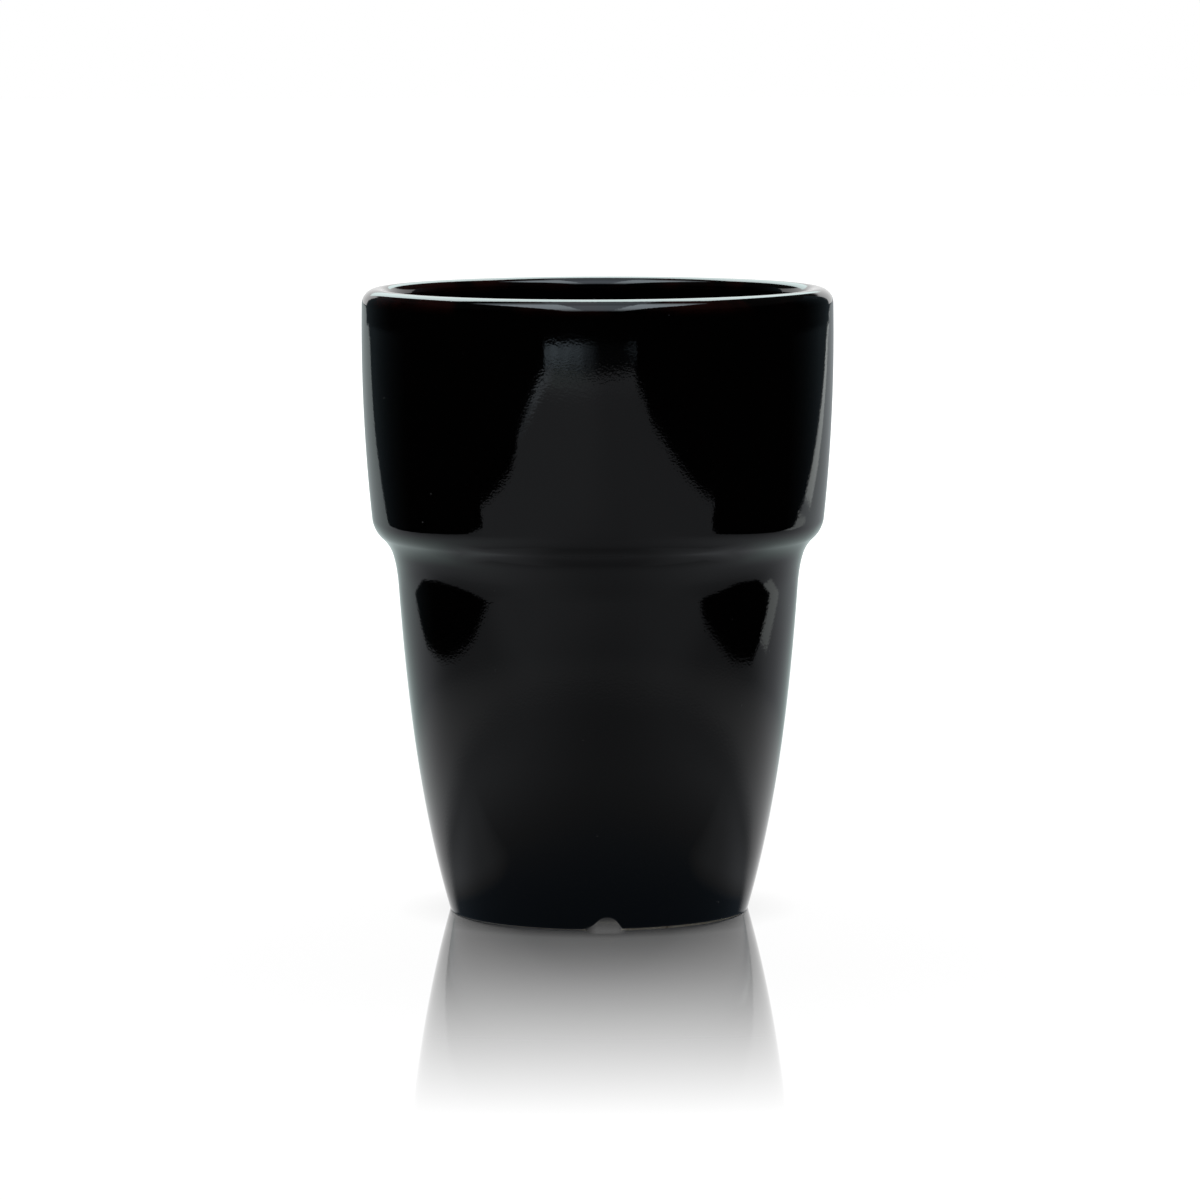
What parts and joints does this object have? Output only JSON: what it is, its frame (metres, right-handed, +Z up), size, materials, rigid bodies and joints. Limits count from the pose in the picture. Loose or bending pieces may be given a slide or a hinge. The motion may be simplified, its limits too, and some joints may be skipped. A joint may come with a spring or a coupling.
{
  "type": "stacking mug",
  "caption": "Handleless stoneware mug: tapering body, stepped shoulder, wider collar with a rounded lip, black gloss glaze, bare foot ring crossed by small drain notches.",
  "frame": {"origin": "on the mug's axis, in the plane that the foot stands on", "axes": "+Z up along the mug's axis, out of the mouth; -Y towards the viewer of the picture; +X to the viewer's right"},
  "size_m": [0.08, 0.08, 0.106],
  "materials": {
    "bare_clay": "unglazed fired stoneware, matt",
    "black_glaze": "black gloss glaze"
  },
  "bodies": {
    "root": {"clay_body": "bare_clay", "outer_glaze": "black_glaze", "liner_glaze": "black_glaze", "base_glaze": "black_glaze"}
  },
  "joints": []
}
